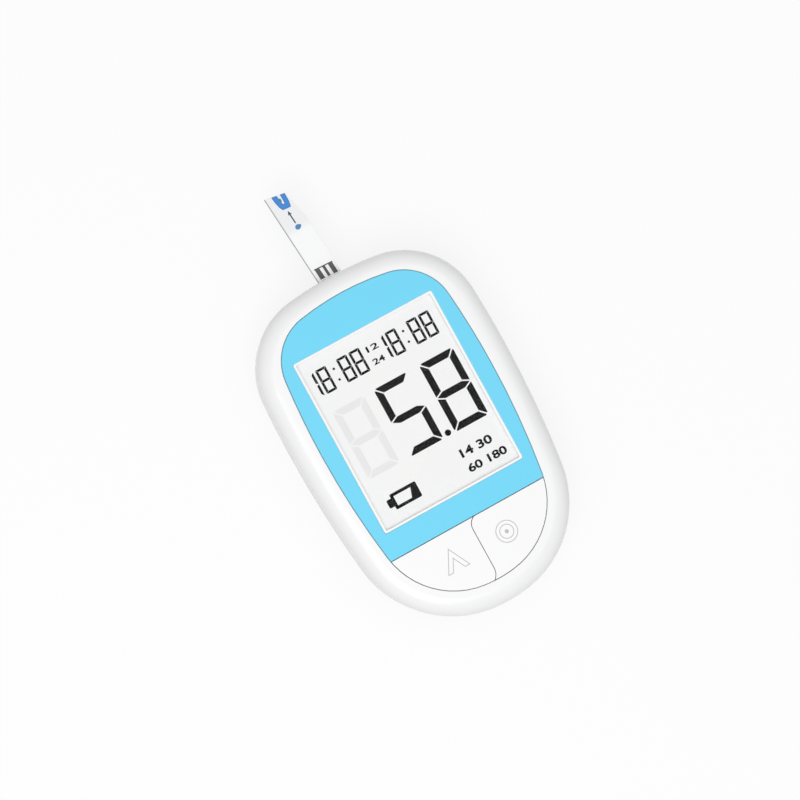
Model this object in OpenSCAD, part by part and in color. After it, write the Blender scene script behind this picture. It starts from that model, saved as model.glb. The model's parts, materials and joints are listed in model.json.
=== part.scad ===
// Blood glucose meter: a palm-sized oval housing with a flat coloured face panel, a segment
// display behind a clear window, two keys that share a curved seam, and a test strip in the
// port at its top edge. Two AAA cells lie behind a hooked door in its back.
// Origin: centre of the flat back. +Y points to the strip port, +Z out of the display.

/* [Housing outline] */
// Width of the white rim beside the panel, at the widest line
rim_w = 5.9; // [5.4:0.1:6.4]
// Height of the widest line above the middle
widest_y = 11; // [9:0.5:13]
// Radius of the long sides
side_r = 264; // [240:1:290]
// Distance from the middle to the top edge
top_y = 44.95; // [44:0.05:46.5]
// Radius of the top edge
top_r = 92; // [70:1:110]
// Radius of the two upper corners
top_corner_r = 19.3; // [18:0.1:21]
// Distance from the middle to the bottom edge
bottom_y = 44.5; // [43.5:0.1:46]
// Radius of the bottom edge
bottom_r = 36; // [33:1:42]
// Radius of the two lower corners
bottom_corner_r = 26; // [24:0.5:27]

/* [Housing section] */
// Thickness of the whole meter
body_t = 20.5; // [20.5:0.1:22]
// Height of the parting line above the back
split_z = 11.5; // [11.3:0.1:11.7]
// Wall of both housing halves
wall = 1.8; // [1.6:0.1:2]
// Rounding of the front edge
front_round = 4.6; // [4:0.1:4.8]
// Rounding of the back edge
back_round = 7; // [5.5:0.1:7.5]
// Chamfer along the parting line
part_chamfer = 0.25; // [0.15:0.05:0.35]
// Height of the lip that lines the halves up
lip_h = 0.9; // [0.6:0.1:1.2]
// Thickness of that lip
lip_t = 0.7; // [0.5:0.05:0.8]
// Play of the lip in its rebate
lip_play = 0.1; // [0.05:0.05:0.15]

/* [Face] */
// Width of the coloured panel beside the window, at the panel's widest line
face_side = 4.45; // [4:0.05:4.9]
// Height of the panel's widest line above the middle
face_widest_y = 7.7; // [6:0.1:9]
// Radius of the panel's long sides
face_side_r = 200; // [180:1:230]
// Width of the rim above the panel
rim_top = 4.9; // [4.75:0.05:5.4]
// Radius of the panel's top edge
face_top_r = 67; // [60:1:75]
// Radius of the panel's upper corners
face_top_corner_r = 12.9; // [12:0.1:14]
// Width of the rim below the keys
rim_bottom = 6.2; // [5.9:0.1:6.7]
// Radius of the keys' bottom edge
face_bottom_r = 32; // [29:1:36]
// Radius of the keys' outer corners
face_bottom_corner_r = 20; // [19:0.5:22]
// Thickness of the coloured panel and of the window
panel_t = 0.8; // [0.6:0.05:0.9]
// Thickness of the adhesive sheet under them
adhesive_t = 0.15; // [0.1:0.05:0.2]
// Play between the panel and its recess, and round the window
panel_play = 0.06; // [0.04:0.01:0.1]
// Play between the front wall and what lies under it
under_play = 0.1; // [0.08:0.01:0.12]

/* [Display] */
// Width of the clear window
window_w = 37.9; // [37:0.1:38.5]
// Height of the clear window
window_h = 46; // [45:0.1:46.5]
// Height of the window's middle above the housing's middle
window_y = 7.2; // [7:0.05:7.4]
// Corner radius of the window
window_corner = 0.5; // [0.3:0.1:1]
// Width of the ledge that carries the window's edge
window_ledge = 0.5; // [0.4:0.05:0.8]
// Thickness of one display glass with its polariser
glass_t = 1.2; // [1:0.05:1.25]
// Width that the display glass lies under the ledge on each side
glass_margin = 1.7; // [1.4:0.1:1.8]
// Width of the contact ledge of the front glass
glass_ledge = 3; // [2.8:0.1:3.4]
// Wall of the holder round the glass
holder_wall = 0.9; // [0.7:0.1:1]
// Width of the shelf that the glass rests on
holder_shelf = 4; // [3:0.5:5]
// Width of the layered connector
zebra_w = 2; // [1.8:0.1:2.2]

/* [Keys] */
// Height of the seam between the panel and the keys
face_split_y = -22.25; // [-22.6:0.05:-22]
// Width of the seams round the keys
key_seam = 0.2; // [0.15:0.05:0.35]
// Height that the keys stand proud of the face
key_proud = 0.1; // [0:0.05:0.3]
// Travel of each key
key_travel = 0.5; // [0.3:0.05:0.5]
// Thickness of the flange that holds each key in
key_flange_t = 0.9; // [0.8:0.05:1]
// Width of that flange
key_flange_w = 0.9; // [0.7:0.05:1]
// Radius of the seam's flare at its top
flare_top_r = 2.8; // [2.4:0.1:3.4]
// Radius of the seam's flare at its bottom
flare_bottom_r = 3.6; // [3.2:0.1:4.2]
// Angle that each flare turns through
flare_angle = 75; // [70:1:80]
// Places of the two switches
switch_at = [[-7.5, -29.4], [6.9, -29.4]];

/* [Board] */
// Thickness of the circuit board
board_t = 1.2; // [1:0.1:1.3]
// Gap between the cell bay and the board
board_gap = 0.25; // [0.2:0.05:0.3]
// Distance of the board's edge from the outside of the housing
board_inset = 3; // [2.8:0.1:3.2]
// Side of each switch's square body
switch_w = 4.5; // [4:0.1:5]
// Height of each switch's body
switch_h = 1.7; // [1.5:0.1:1.8]
// Radius of the switches' plungers
plunger_r = 1; // [0.8:0.05:1.2]
// Radius of the sounder
buzzer_r = 4.5; // [4:0.1:5]
// Height of the sounder
buzzer_h = 2.5; // [2:0.1:3]
// Distance of the sounder from the housing's side
buzzer_side = 10.7; // [10.5:0.1:11]
// Height of the sounder above the middle
buzzer_y = -1; // [-2:0.5:1]
// Side of the controller's square case
chip_w = 7; // [6:0.5:8]
// Thickness of the controller's case
chip_t = 1; // [0.9:0.1:1.4]
// Leads along each side of the controller
chip_leads = 7; // [5:1:8]
// Distance of the controller from the housing's side
chip_side = 10.4; // [10.2:0.1:10.8]
// Height of the controller above the middle
chip_y = -4; // [-5:0.5:-3]

/* [Test strip] */
// Width of the strip
strip_w = 6.4; // [6:0.1:6.6]
// Thickness of the strip
strip_t = 0.45; // [0.3:0.05:0.5]
// Length of the strip outside the housing
strip_out = 24.6; // [22:0.1:26]
// Length of the strip inside the housing
strip_in = 8; // [7:0.1:8.5]
// Lean of the strip in its port, in degrees
strip_lean = 4.4; // [0:0.1:4.6]
// Length of the tapered stretch at the tip
strip_cut = 8.5; // [6:0.1:9.5]
// Width of the tip
strip_tip_w = 5.3; // [4.6:0.1:5.6]
// How far the tip's right corner lies behind its left one
tip_slant = 1.2; // [0:0.1:1.6]
// Height of the slot for the strip
slot_h = 0.9; // [0.8:0.05:1]
// Play of the strip at each side of the slot
slot_play = 0.75; // [0.7:0.05:0.85]
// Length of the port
port_len = 12.8; // [12:0.2:13.4]
// Side walls of the port
port_wall = 1.8; // [1.5:0.1:2]
// Spacing of the contact leaves
contact_pitch = 1.9; // [1.8:0.05:2]

/* [Battery] */
// Diameter of one cell
cell_d = 10.5; // [10.1:0.1:10.5]
// Length of one cell with its positive nub
cell_len = 44.5; // [43.5:0.1:44.5]
// Gap between the two cells
cell_gap = 0.6; // [0.4:0.1:0.8]
// Play of each cell in its cradle
cell_play = 0.15; // [0.1:0.05:0.2]
// Length of the contact springs between cell and end plate
spring_len = 4.9; // [4.5:0.1:5.2]
// Height of the cell bay's lower end below the middle
bay_bottom_y = -29.6; // [-29.8:0.1:-29.2]
// Wall of the cell bay
bay_wall = 1.05; // [1:0.05:1.1]
// Thickness of the bay's roof over the cells
bay_roof = 0.75; // [0.7:0.05:0.8]
// Thickness of the door
door_t = 1.6; // [1.5:0.05:1.7]
// Seam round the door
door_seam = 0.2; // [0.15:0.05:0.3]
// Length of the door past the bay at its latch end
door_past = 4.6; // [4.4:0.1:5]
// Width that the door reaches past the bay's walls
door_lap = 0.35; // [0.3:0.05:0.4]
// Width of the door's latch
latch_w = 7; // [6:0.1:8]
// Height of the door's latch
latch_h = 6.2; // [6:0.1:6.3]
// Width of each hook at the door's lower edge
hook_w = 3.2; // [2.6:0.1:3.6]
// Inner radius of the hooks round the door's turning line
hook_r = 2.2; // [2.15:0.05:2.3]
// Thickness of the hooks
hook_t = 0.8; // [0.6:0.05:0.8]
// Angle that the hooks reach over the housing's edge
hook_angle = 32; // [28:1:34]

/* [Screws] */
// Radius of the bosses for the housing screws
boss_r = 1.9; // [1.8:0.05:2]
// Distance of the upper housing screws from the housing's side
boss_side = 5.1; // [5:0.1:5.5]
// Distance of the upper housing screws from the housing's top
boss_down = 15.45; // [15:0.05:16]
// Distance of the lower housing screws from the middle line
boss_out = 9.5; // [9:0.1:10]
// Distance of the lower housing screws from the housing's bottom
boss_up = 4.8; // [4.7:0.1:5]
// Radius of the posts that carry the board
post_r = 1.6; // [1.5:0.05:1.7]
// Distance of the board's posts from the housing's side
post_side = 5.8; // [5.6:0.1:6.2]
// Heights of the board's posts above the middle
post_y = [8, -16];
// Shank radius of the housing screws
screw_r = 0.9; // [0.8:0.05:1]
// Shank radius of the board screws
board_screw_r = 0.7; // [0.6:0.05:0.8]

/* [Hidden] */

$fn = 96;
// Anything longer than this is longer than the meter
big = 200;
// How far a cut runs past the face that it opens
over = 1;

// The widths and reaches that the display, the panel beside it and the rim add up to
face_half_w = window_w / 2 + face_side;
half_w = face_half_w + rim_w;
face_top_y = top_y - rim_top;
face_bottom_y = bottom_y - rim_bottom;

// An oval is its half width, widest height and side radius, then the reach, end radius and
// corner radius of its top, and the same three of its bottom.
HOUSING = [half_w, widest_y, side_r, top_y, top_r, top_corner_r,
    bottom_y, bottom_r, bottom_corner_r];
FACE = [face_half_w, face_widest_y, face_side_r, face_top_y, face_top_r, face_top_corner_r,
    face_bottom_y, face_bottom_r, face_bottom_corner_r];

// Heights above the back, from the back to the front
cell_r = cell_d / 2;
cell_z = door_t + cell_play + cell_r;
bay_top_z = cell_z + cell_r + cell_play + bay_roof;
board_z = bay_top_z + board_gap;
board_top_z = board_z + board_t;
plate_z = body_t - wall;
glass_top_z = plate_z - under_play;
glass_mid_z = glass_top_z - glass_t;
glass_z = glass_mid_z - glass_t;
panel_z = body_t - panel_t;
recess_z = panel_z - adhesive_t;
flange_top_z = plate_z - under_play;
flange_z = flange_top_z - key_flange_t;
switch_top_z = board_top_z + switch_h;
plunger_rest = 0.2;
plunger_top_z = switch_top_z + key_travel + plunger_rest;
strip_z = split_z;

// Display
view_w = window_w - 2 * window_ledge;
view_h = window_h - 2 * window_ledge;
glass_w = view_w + 2 * glass_margin;
glass_y1 = window_y + view_h / 2 + glass_margin;
glass_y0 = window_y - view_h / 2 - glass_ledge;
glass_play = 0.1;
zebra_inset = 1.2;
zebra_edge = 0.5;

// Cell bay and door
cell_x = cell_r + cell_gap / 2;
cradle_r = cell_r + cell_play;
bay_half_w = cell_x + cradle_r;
plate_metal_t = 0.3;
bay_len = cell_len + spring_len + 2 * plate_metal_t;
bay_top_y = bay_bottom_y + bay_len;
door_half_w = bay_half_w + bay_wall + door_lap;
door_bottom_y = bay_bottom_y - bay_wall - door_lap;
door_top_y = bay_top_y + door_past;
door_clear = 0.05;
nub_len = 0.8;
nub_r = 1.9;
hook_x = bay_half_w - 1.75;
hook_out_r = hook_r + hook_t + 0.3;
hook_reach = (hook_r + hook_t) * sin(hook_angle) + 0.3;
latch_wall = 0.9;
latch_room = 0.4;
latch_nose = 1.2;
well_end_y = door_top_y + latch_nose + latch_room + 1;
well_top_z = latch_h + 0.6;

// Screws, sounder and controller
boss_at = [[half_w - boss_side, top_y - boss_down], [boss_out, boss_up - bottom_y]];
post_at = [for (y = post_y) [half_w - post_side, y]];
buzzer_at = [buzzer_side - half_w, buzzer_y];
chip_at = [half_w - chip_side, chip_y];
hole_play = 0.2;
head_r = 1.8;
head_h = 1.3;
well_r = head_r + 0.25;
head_seat_z = 7.4;
screw_len = 8;
board_head_r = 1.4;
board_head_h = 0.9;
board_screw_len = 3.6;
screw_end = 0.4;

// ---- Oval outlines of eight arcs, each tangent to the next ----

// The largest corner arc that two sides leave room for, with its centre on the middle line
function widest_corner(half, r, rise) = (2 * r * half - half * half - rise * rise) / (2 * (r - rise));
// The quarter of an oval that lies towards +Y: width, widest height, side, reach, end, corner
function quarter(half, y, r, reach, end, corner) =
    [half, y, r, reach, end, min(corner, 0.98 * widest_corner(half, r, reach - y))];
function top_quarter(o) = quarter(o[0], o[1], o[2], o[3], o[4], o[5]);
function bottom_quarter(o) = quarter(o[0], -o[1], o[2], o[6], o[7], o[8]);

// Centres of a quarter's side, end and corner arcs
function side_centre(q) = [q[0] - q[2], q[1]];
function end_centre(q) = [0, q[3] - q[4]];
function corner_centre(q) =
    let (s = side_centre(q), e = end_centre(q), d = norm(e - s), u = (e - s) / d,
         a = q[2] - q[5], b = q[4] - q[5], along = (a * a - b * b + d * d) / (2 * d))
    s + u * along + [-u.y, u.x] * sqrt(a * a - along * along);

// Angles at which the corner arc meets the side arc and the end arc
function side_angle(q) = let (v = corner_centre(q) - side_centre(q)) atan2(v.y, v.x);
function end_angle(q) = let (v = corner_centre(q) - end_centre(q)) atan2(v.y, v.x);

// Points along an arc, without the first one when it repeats the arc before
function arc_points(c, r, from, to, steps, first = 0) =
    [for (i = [first:steps]) let (a = from + (to - from) * i / steps) c + r * [cos(a), sin(a)]];
// Points along a quarter, a distance inside it, from its end round to its side
function quarter_points(q, inset) = concat(
    arc_points(end_centre(q), q[4] - inset, 90, end_angle(q), 3),
    arc_points(corner_centre(q), q[5] - inset, end_angle(q), side_angle(q), 12, 1),
    arc_points(side_centre(q), q[2] - inset, side_angle(q), 0, 4, 1));
// Points down the right half of an oval, then all round it
function right_points(o, inset) =
    let (top = quarter_points(top_quarter(o), inset), low = quarter_points(bottom_quarter(o), inset))
    concat(top, [for (i = [len(low) - 2:-1:0]) [low[i].x, -low[i].y]]);
function oval_points(o, inset) =
    let (right = right_points(o, inset))
    concat(right, [for (i = [len(right) - 2:-1:1]) [-right[i].x, right[i].y]]);

// An upright plate with an oval outline, a distance inside the oval
module oval_plate(o, inset, z0, z1)
    translate([0, 0, z0]) linear_extrude(z1 - z0) polygon(oval_points(o, inset));

// An upright wall that follows an oval, between two distances inside it
module oval_wall(o, outer, inner, z0, z1)
    translate([0, 0, z0]) linear_extrude(z1 - z0) difference() {
        polygon(oval_points(o, outer));
        polygon(oval_points(o, inner));
    }

// A solid lofted through ovals, given from the lowest up as pairs of inset and height
module oval_loft(o, levels) {
    n = len(oval_points(o, 0));
    top = (len(levels) - 1) * n;
    points = [for (l = levels) each [for (p = oval_points(o, l[0])) [p.x, p.y, l[1]]]];
    walls = [for (i = [0:len(levels) - 2], k = [0:n - 1])
        let (a = i * n + k, b = i * n + (k + 1) % n) each [[a, b, b + n], [a, b + n, a + n]]];
    polyhedron(points, concat(walls, [[for (k = [n - 1:-1:0]) k], [for (k = [0:n - 1]) top + k]]));
}

// The levels of a rounded edge, an inset inside the skin, from its side to its flat
function round_levels(r, inset, steps) =
    [for (i = [0:steps]) let (a = 90 * i / steps) [r - (r - inset) * cos(a), (r - inset) * sin(a)]];

// The skin of each half as a solid, or the room inside it at an inset
function front_levels(inset, steps) = [for (l = round_levels(front_round, inset, steps))
    [l[0], body_t - front_round + l[1]]];
function rear_levels(inset, steps) = let (l = round_levels(back_round, inset, steps))
    [for (i = [steps:-1:0]) [l[i][0], back_round - l[i][1]]];
module front_skin() oval_loft(HOUSING, concat(
    [[part_chamfer, split_z], [0, split_z + part_chamfer]], front_levels(0, 7)));
module front_room() oval_loft(HOUSING, concat([[wall, split_z - over]], front_levels(wall, 4)));
module rear_skin() oval_loft(HOUSING, concat(
    rear_levels(0, 8), [[0, split_z - part_chamfer], [part_chamfer, split_z]]));
module rear_room() oval_loft(HOUSING, concat(rear_levels(wall, 5), [[wall, split_z + over]]));

// ---- Small shared shapes ----

module both_sides() for (side = [0, 1]) mirror([side, 0, 0]) children();

module round_rect(w, h, r) {
    square([w, h - 2 * r], center = true);
    square([w - 2 * r, h], center = true);
    for (x = [-1, 1], y = [-1, 1]) translate([x * (w / 2 - r), y * (h / 2 - r)]) circle(r);
}

module boss_places() both_sides() for (p = boss_at) translate(p) children();
module post_places() both_sides() for (p = post_at) translate(p) children();

module tube(r, z0, z1) translate([0, 0, z0]) cylinder(r = r, h = z1 - z0);

// The strip's slot through the housing wall, wide enough for its lean
module strip_slot() {
    translate([-strip_w / 2 - slot_play, top_y - 3 * wall, strip_z - slot_h / 2])
        cube([strip_w + 2 * slot_play, 4 * wall, slot_h]);
}

// The seam between the keys, moved sideways: straight, with a flare at each end that goes
// straight on past the keys' edge, so that the flanges stay as far apart as the caps
seam_over = 0.6;
seam_top = face_split_y - flare_top_r * sin(flare_angle) + key_seam / 2;
seam_bottom = flare_bottom_r * sin(flare_angle) - face_bottom_y - seam_over;
flare_top_x = flare_top_r * (1 - cos(flare_angle));
flare_bottom_x = -flare_bottom_r * (1 - cos(flare_angle));
function flare_end(x, r) = acos(x / r);
function seam_line(move) =
    let (top = flare_end(flare_top_x + move - flare_top_r, flare_top_r - move),
         low = flare_end(flare_bottom_x + move + flare_bottom_r, flare_bottom_r + move))
    concat(
        [[flare_top_x + move, big]],
        arc_points([flare_top_r, seam_top], flare_top_r - move, top, 180, 6),
        arc_points([-flare_bottom_r, seam_bottom], flare_bottom_r + move, 0, -low, 6),
        [[flare_bottom_x + move, -big]]);
module right_of_seam(move) polygon(concat(seam_line(move), [[big, -big], [big, big]]));

// ---- Housing ----

// Everything below the lower edge of the panel, moved up by a distance
module below_panel(up = 0)
    translate([-big / 2, face_split_y + key_seam / 2 + up - big, 0]) cube([big, big, big]);

module front_housing() color("white") {
    difference() {
        front_skin();
        difference() {
            front_room();
            boss_places() tube(boss_r, split_z, body_t);
            post_places() tube(post_r, board_top_z, body_t);
        }
        // rebate for the lip of the rear half
        oval_wall(HOUSING, wall - lip_t - lip_play, wall + lip_play,
            split_z - over, split_z + lip_h + lip_play);
        // recess for the panel, opening for the keys and opening for the view
        difference() {
            oval_plate(FACE, 0, recess_z, body_t + over);
            below_panel();
        }
        intersection() {
            oval_plate(FACE, 0, plate_z - over, body_t + over);
            below_panel();
        }
        translate([0, window_y, plate_z - over]) linear_extrude(wall + 2 * over)
            round_rect(view_w, view_h, window_corner);
        strip_slot();
        boss_places() tube(screw_r, split_z - over, head_seat_z + screw_len + screw_end);
        post_places() tube(board_screw_r, board_top_z - over, board_z + board_screw_len + screw_end);
    }
}

module rear_housing() color("white") {
    difference() {
        union() {
            difference() {
                rear_skin();
                difference() {
                    rear_room();
                    rear_inner_walls();
                }
            }
            bay_tub();
            oval_wall(HOUSING, wall - lip_t, wall, split_z - over, split_z + lip_h);
        }
        bay_room();
        door_room();
        strip_slot();
        boss_places() {
            tube(boss_r + 1.5 * hole_play, split_z, split_z + lip_h + over);
            tube(screw_r + hole_play, 0, split_z + over);
            tube(well_r, -over, head_seat_z);
        }
    }
}

// Posts for the housing screws, the latch well and stiffening ribs
well_wall = 0.7;
rib_t = 0.9;
rib_h = 5;
rib_pitch = 12;
rib_start = 0.8;
module rear_inner_walls() {
    boss_places() tube(well_r + well_wall, 0, split_z);
    translate([-latch_w / 2 - latch_room - bay_wall, bay_top_y, 0])
        cube([
            latch_w + 2 * (latch_room + bay_wall), well_end_y + bay_wall - bay_top_y,
            well_top_z + bay_wall
        ]);
    both_sides() for (i = [0:3])
        translate([bay_half_w, bay_bottom_y + (i + rib_start) * rib_pitch - rib_t / 2, 0])
            cube([big, rib_t, rib_h]);
}

// The walls of the cell bay
module bay_tub() {
    w = bay_half_w + bay_wall;
    translate([-w, bay_bottom_y - bay_wall, door_t])
        cube([2 * w, bay_len + 2 * bay_wall, bay_top_z - door_t]);
}

// The room for the two cells, with a cradle over each
module bay_room() {
    translate([-bay_half_w, bay_bottom_y, 0]) cube([2 * bay_half_w, bay_len, cell_z]);
    both_sides() translate([cell_x, bay_bottom_y, cell_z]) rotate([-90, 0, 0])
        cylinder(r = cradle_r, h = bay_len);
}

// The room for the door, its hooks and its latch
module door_room() {
    translate([-door_half_w - door_seam, door_bottom_y - door_seam, -over])
        cube([
            2 * (door_half_w + door_seam), door_top_y - door_bottom_y + 2 * door_seam,
            over + door_t + door_clear
        ]);
    both_sides() translate([hook_x - hook_w / 2 - door_seam, door_bottom_y, 0]) rotate([90, 0, 90])
        linear_extrude(hook_w + 2 * door_seam) polygon([
            [-hook_reach, wall], [-door_seam, wall], [-door_seam, 0], [hook_out_r, 0],
            [hook_out_r, hook_out_r], [-hook_reach, hook_out_r]
        ]);
    translate([-latch_w / 2 - latch_room, bay_top_y + bay_wall, -over])
        cube([latch_w + 2 * latch_room, well_end_y - bay_top_y - bay_wall, over + well_top_z]);
}

// ---- Face ----

module face_panel() color("#7ddbf8") {
    difference() {
        oval_plate(FACE, panel_play, panel_z, body_t);
        below_panel();
        translate([0, window_y, panel_z - over]) linear_extrude(panel_t + 2 * over)
            round_rect(window_w + 2 * panel_play, window_h + 2 * panel_play, window_corner + panel_play);
    }
}

adhesive_inset = 0.4;
module panel_adhesive() color("#f2f2f0") {
    difference() {
        oval_plate(FACE, adhesive_inset, recess_z, panel_z);
        below_panel(adhesive_inset);
        translate([0, window_y, recess_z - over]) linear_extrude(adhesive_t + 2 * over)
            round_rect(view_w, view_h, window_corner);
    }
}

module display_window() color("#dfe9ee", 0.35) {
    translate([0, window_y, panel_z]) linear_extrude(panel_t)
        round_rect(window_w, window_h, window_corner);
}

// ---- Display ----

module glass_slab(y0, z0)
    translate([-glass_w / 2, y0, z0]) cube([glass_w, glass_y1 - y0, glass_t]);

module lcd_glass() color("#d9dcd6") {
    glass_slab(glass_y0, glass_mid_z);
    glass_slab(glass_y0 + glass_ledge, glass_z);
}

module lcd_holder() color("#e9e9e6") {
    outer = holder_wall + glass_play;
    difference() {
        translate([-glass_w / 2 - outer, glass_y0 - outer, board_top_z])
            cube([
                glass_w + 2 * outer, glass_y1 - glass_y0 + 2 * outer,
                glass_top_z - board_top_z
            ]);
        translate([-glass_w / 2 - glass_play, glass_y0 - glass_play, glass_z])
            cube([glass_w + 2 * glass_play, glass_y1 - glass_y0 + 2 * glass_play, big]);
        translate([-glass_w / 2 + holder_shelf, glass_y0 + glass_ledge + holder_shelf, 0])
            cube([
                glass_w - 2 * holder_shelf,
                glass_y1 - glass_y0 - glass_ledge - 2 * holder_shelf, big
            ]);
        zebra_bar(glass_play, 0, big);
    }
}

module zebra_bar(grow, z0, z1)
    translate([zebra_inset - glass_w / 2 - grow, glass_y0 + zebra_edge - grow, z0])
        cube([glass_w - 2 * zebra_inset + 2 * grow, zebra_w + 2 * grow, z1 - z0]);

module zebra_connector() color("#3a3a3c") zebra_bar(0, board_top_z, glass_mid_z);

// ---- Keys ----

// The area of both keys between two heights, grown past the seam by a width
module key_area(grow, z0, z1) {
    intersection() {
        oval_plate(FACE, key_seam - grow, z0, z1);
        below_panel(grow - key_seam);
    }
}

// A key: its cap, the flange under the housing and the stem over the switch
key_stem_wall = 0.6;
module key_body(place) {
    key_area(0, flange_z, body_t + key_proud);
    key_area(key_seam + key_flange_w, flange_z, flange_top_z);
    translate(place) tube(plunger_r + key_stem_wall, plunger_top_z, flange_top_z);
}

module left_key() color("#f6f6f6") {
    difference() {
        key_body(switch_at[0]);
        translate([0, 0, -over]) linear_extrude(big) right_of_seam(-key_seam / 2);
    }
}

module right_key() color("#f6f6f6") {
    intersection() {
        key_body(switch_at[1]);
        translate([0, 0, -over]) linear_extrude(big) right_of_seam(key_seam / 2);
    }
}

switch_floor = 0.3;
plunger_play = 0.08;
plunger_in = 0.8;
module switch_case(place) color("#303236") {
    translate(place) difference() {
        translate([-switch_w / 2, -switch_w / 2, board_top_z]) cube([switch_w, switch_w, switch_h]);
        tube(plunger_r + plunger_play, board_top_z + switch_floor, switch_top_z + over);
    }
}
module left_switch() switch_case(switch_at[0]);
module right_switch() switch_case(switch_at[1]);

module plunger(place) color("#c8b070") {
    translate(place) tube(plunger_r, switch_top_z - plunger_in, plunger_top_z);
}
module left_plunger() plunger(switch_at[0]);
module right_plunger() plunger(switch_at[1]);

// ---- Board ----

module main_board() color("#2f7d4a") {
    difference() {
        oval_plate(HOUSING, board_inset, board_z, board_top_z);
        boss_places() tube(boss_r + 2 * hole_play, 0, body_t);
        post_places() tube(board_screw_r + hole_play, 0, body_t);
    }
}

module controller_chip() color("#2a2a2d") {
    lead_w = 0.3;
    lead_out = 0.8;
    row = chip_w - 1;
    translate([chip_at.x, chip_at.y, board_z - chip_t]) {
        translate([-chip_w / 2, -chip_w / 2, 0]) cube([chip_w, chip_w, chip_t]);
        for (turn = [0:90:270], i = [0:chip_leads - 1]) rotate(turn)
            translate([0, i * row / (chip_leads - 1) - row / 2 - lead_w / 2, chip_t / 2])
                cube([chip_w / 2 + lead_out, lead_w, chip_t / 2]);
    }
}

module buzzer() color("#1f1f21") {
    sound_hole_r = 0.8;
    translate(buzzer_at) difference() {
        tube(buzzer_r, board_z - buzzer_h, board_z);
        tube(sound_hole_r, board_z - buzzer_h - over, board_z - buzzer_h / 2);
    }
}

// ---- Strip port and strip ----

port_front_y = top_y - wall - 0.2;
port_back_y = port_front_y - port_len;
port_floor = 1.2;
contact_w = 0.7;
contact_t = 0.2;
channel_w = contact_w + 0.3;

module strip_port() color("#2c2e33") {
    half = strip_w / 2 + slot_play;
    floor_z = strip_z - slot_h / 2 - port_floor;
    difference() {
        translate([-half - port_wall, port_back_y, floor_z])
            cube([2 * (half + port_wall), port_len, board_z - floor_z]);
        translate([-half, top_y - strip_in - slot_play, strip_z - slot_h / 2])
            cube([2 * half, big, slot_h]);
        for (i = [-1:1]) translate([i * contact_pitch - channel_w / 2, port_back_y - over, strip_z])
            cube([channel_w, port_len - port_floor + over, port_floor]);
    }
}

// One contact leaf, bent from strip: tail on the board, arm, and the bow over the strip
module strip_contacts() color("#d9b24a") {
    t = contact_t;
    arm_z = strip_z + port_floor - t - 0.15;
    bow_z = strip_z + strip_t / 2 + 0.06;
    bow_y = top_y - strip_in * 0.75;
    arm_end_y = bow_y - 3;
    lead_in_y = bow_y + 1.6;
    lead_in_z = arm_z - 0.1;
    tail_y = port_back_y - 1;
    for (i = [-1:1]) translate([i * contact_pitch - contact_w / 2, 0, 0]) rotate([90, 0, 90])
        linear_extrude(contact_w) polygon([
            [tail_y, board_z], [tail_y, arm_z], [arm_end_y, arm_z], [bow_y, bow_z],
            [lead_in_y, lead_in_z], [lead_in_y, lead_in_z + t], [bow_y, bow_z + t],
            [arm_end_y, arm_z + t], [tail_y + t, arm_z + t], [tail_y + t, board_z]
        ]);
}

module test_strip() color("#f4f6f8") {
    translate([0, top_y, strip_z - strip_t / 2]) rotate(strip_lean) linear_extrude(strip_t) polygon([
        [-strip_w / 2, -strip_in], [strip_w / 2, -strip_in], [strip_w / 2, strip_out - strip_cut],
        [strip_tip_w - strip_w / 2, strip_out - tip_slant], [-strip_w / 2, strip_out]
    ]);
}

// ---- Battery ----

grip_r = 0.45;
grip_w = 12;
grip_pitch = 1.6;
grip_count = 5;

module battery_door() color("white") {
    difference() {
        translate([-door_half_w, door_bottom_y, 0])
            cube([2 * door_half_w, door_top_y - door_bottom_y, door_t]);
        // grip grooves near the latch
        for (i = [0:grip_count - 1])
            translate([-grip_w / 2, door_top_y - latch_nose - door_past + (0.2 - i) * grip_pitch, 0])
                rotate([0, 90, 0]) cylinder(r = grip_r, h = grip_w);
    }
    both_sides() translate([hook_x - hook_w / 2, door_bottom_y, 0]) rotate([90, 0, 90])
        linear_extrude(hook_w) hook_profile();
    translate([-latch_w / 2, 0, 0]) rotate([90, 0, 90]) linear_extrude(latch_w) latch_profile();
}

// A hook that curls round the door's turning line and over the housing's edge
module hook_profile() {
    out_r = hook_r + hook_t;
    difference() {
        circle(out_r);
        circle(hook_r);
        // what lies past its tip, in front of its foot and below the door's inner face
        polygon([[0, 0], [-big * sin(hook_angle), big * cos(hook_angle)], [-big, -big], [0, -big]]);
        translate([hook_t, -big / 2]) square(big);
        translate([-big / 2, -big]) square(big);
    }
    translate([0, door_t / 2]) square([hook_t, hook_r + hook_t / 2 - door_t / 2]);
}

// A latch leaf that rises, turns over and comes down outside the door's edge
module latch_profile() {
    y0 = bay_top_y + bay_wall + latch_room;
    y1 = door_top_y + latch_nose;
    difference() {
        translate([y0, door_t / 2]) square([y1 - y0, latch_h - door_t / 2]);
        translate([y0 + latch_wall, door_t])
            square([y1 - y0 - 2 * latch_wall, latch_h - latch_wall - door_t]);
        translate([door_top_y, 0]) square([y1 - latch_wall - door_top_y, door_t + over]);
    }
}

module battery_cell() {
    color("#c9ccd0") rotate([-90, 0, 0]) {
        cylinder(r = cell_r, h = cell_len - nub_len);
        cylinder(r = nub_r, h = cell_len);
    }
}
// The left cell's positive end is up, the right one's is down.
module battery_cell_left()
    translate([-cell_x, bay_top_y - plate_metal_t - cell_len, cell_z]) battery_cell();
module battery_cell_right()
    translate([cell_x, bay_bottom_y + plate_metal_t + cell_len, cell_z])
        mirror([0, 1, 0]) battery_cell();

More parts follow.
